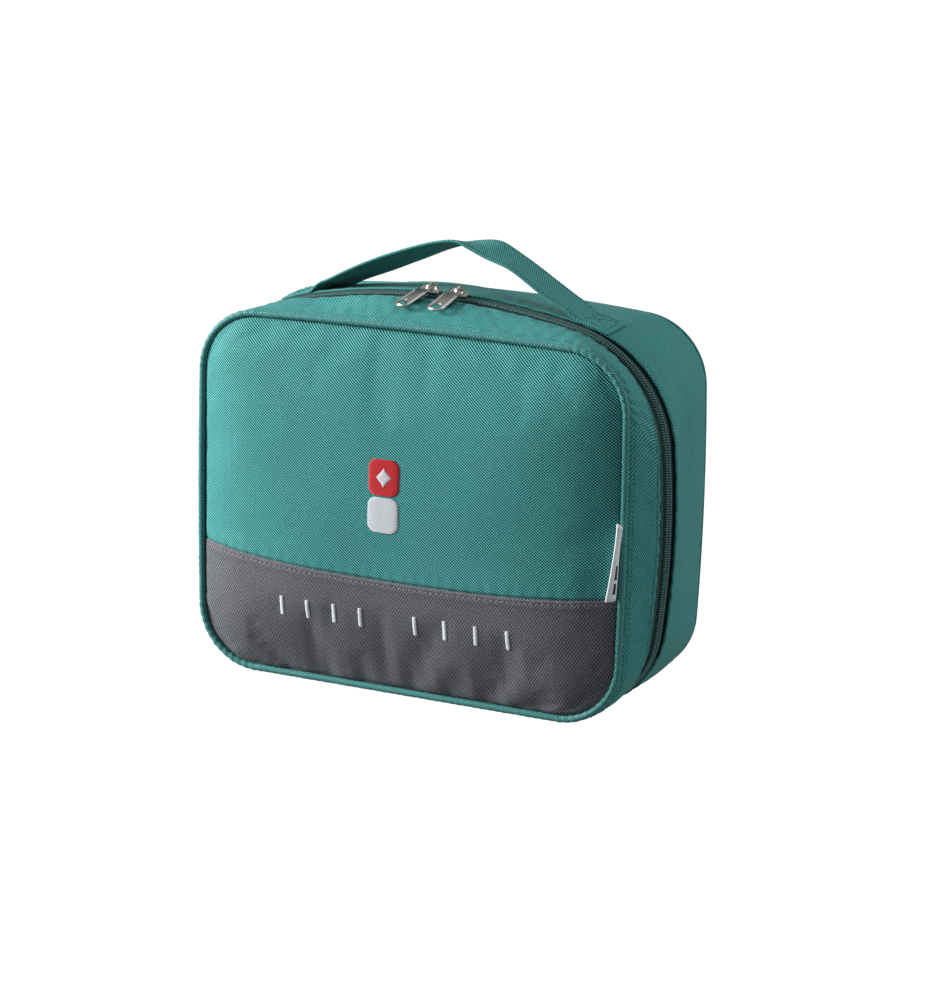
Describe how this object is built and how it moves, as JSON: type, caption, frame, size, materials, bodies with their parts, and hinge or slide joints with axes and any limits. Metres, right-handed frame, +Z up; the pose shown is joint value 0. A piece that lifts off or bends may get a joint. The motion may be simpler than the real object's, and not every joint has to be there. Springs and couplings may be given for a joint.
{
  "type": "first aid kit bag",
  "caption": "Soft padded first aid bag: zipped clamshell lid on a fabric hinge, carry strap, sliders with pulls, mesh pocket and padded dividers inside.",
  "frame": {"origin": "on the floor, in the middle of the flat bottom of the body shell, half way between the piped front seam and the back panel", "axes": "+X to the right as seen from the front, +Y to the back, +Z up"},
  "size_m": [0.2714, 0.1197, 0.2365],
  "materials": {
    "green_cloth": "matt Oxford weave",
    "grey_cloth": "matt Oxford weave",
    "piping": "matt woven tape over a cord",
    "foam": "open foam",
    "lining": "thin woven lining",
    "zipper_tape": "knitted tape",
    "zipper_coil": "moulded coil",
    "nickel": "nickel plated, lightly worn",
    "white_label": "woven satin",
    "red_thread": "satin stitch",
    "mesh": "open mesh",
    "strap": "doubled Oxford cloth"
  },
  "bodies": {
    "body": {"body_gusset": "green_cloth", "body_foam": "foam", "body_lining": "lining", "back_panel": "green_cloth", "back_foam_board": "foam", "bottom_hinge_strip": "green_cloth", "zipper_tape_body": "zipper_tape", "zipper_coil_body": "zipper_coil", "zipper_end_tab_left": "green_cloth", "zipper_end_tab_right": "green_cloth", "strap_end_left": "strap", "strap_end_right": "strap", "elastic_band": "lining", "divider_long": "lining", "divider_short_left": "lining", "divider_short_right": "lining"},
    "lid": {"front_panel_upper": "green_cloth", "front_panel_lower": "grey_cloth", "front_foam": "foam", "front_piping": "piping", "lid_gusset": "green_cloth", "lid_foam": "foam", "lid_lining": "lining", "side_label": "white_label", "emblem_tile_red": "red_thread", "emblem_tile_white": "white_label", "zipper_tape_lid": "zipper_tape", "zipper_coil_lid": "zipper_coil", "mesh_pocket": "mesh", "pocket_zipper_tape": "zipper_tape", "pocket_zipper_coil": "zipper_coil"},
    "handle": {"carry_strap": "strap"},
    "slider_left": {"zipper_slider_left": "nickel"},
    "slider_right": {"zipper_slider_right": "nickel"},
    "pull_left": {"zipper_pull_left": "nickel"},
    "pull_right": {"zipper_pull_right": "nickel"},
    "pocket_slider": {"pocket_zipper_slider": "nickel"}
  },
  "joints": [
    {"name": "lid_hinge", "type": "hinge", "parent": "body", "child": "lid", "pos_m": [0, -0.023, -0.0003], "axis": [1, 0, 0], "range_deg": [0, 175]},
    {"name": "handle_tilt", "type": "hinge", "parent": "body", "child": "handle", "pos_m": [0, -0.0045, 0.207], "axis": [-1, 0, 0], "range_deg": [-36, 45]},
    {"name": "slider_left_run", "type": "hinge", "parent": "body", "child": "slider_left", "pos_m": [0, -0.023, -0.146], "axis": [0, -1, 0], "range_deg": [0, 8.5]},
    {"name": "slider_right_run", "type": "hinge", "parent": "body", "child": "slider_right", "pos_m": [0, -0.023, -0.146], "axis": [0, 1, 0], "range_deg": [0, 8]},
    {"name": "pull_left_lift", "type": "hinge", "parent": "slider_left", "child": "pull_left", "pos_m": [-0.00259, -0.02439, 0.21469], "axis": [-0.9272, 0.3746, -0.0052], "range_deg": [0, 105]},
    {"name": "pull_right_lift", "type": "hinge", "parent": "slider_right", "child": "pull_right", "pos_m": [0.01389, -0.02447, 0.21443], "axis": [-0.9809, 0.1908, 0.0386], "range_deg": [0, 105]},
    {"name": "pocket_slider_run", "type": "slide", "parent": "lid", "child": "pocket_slider", "axis": [1, 0, 0], "range_m": [0, 0.176]}
  ]
}
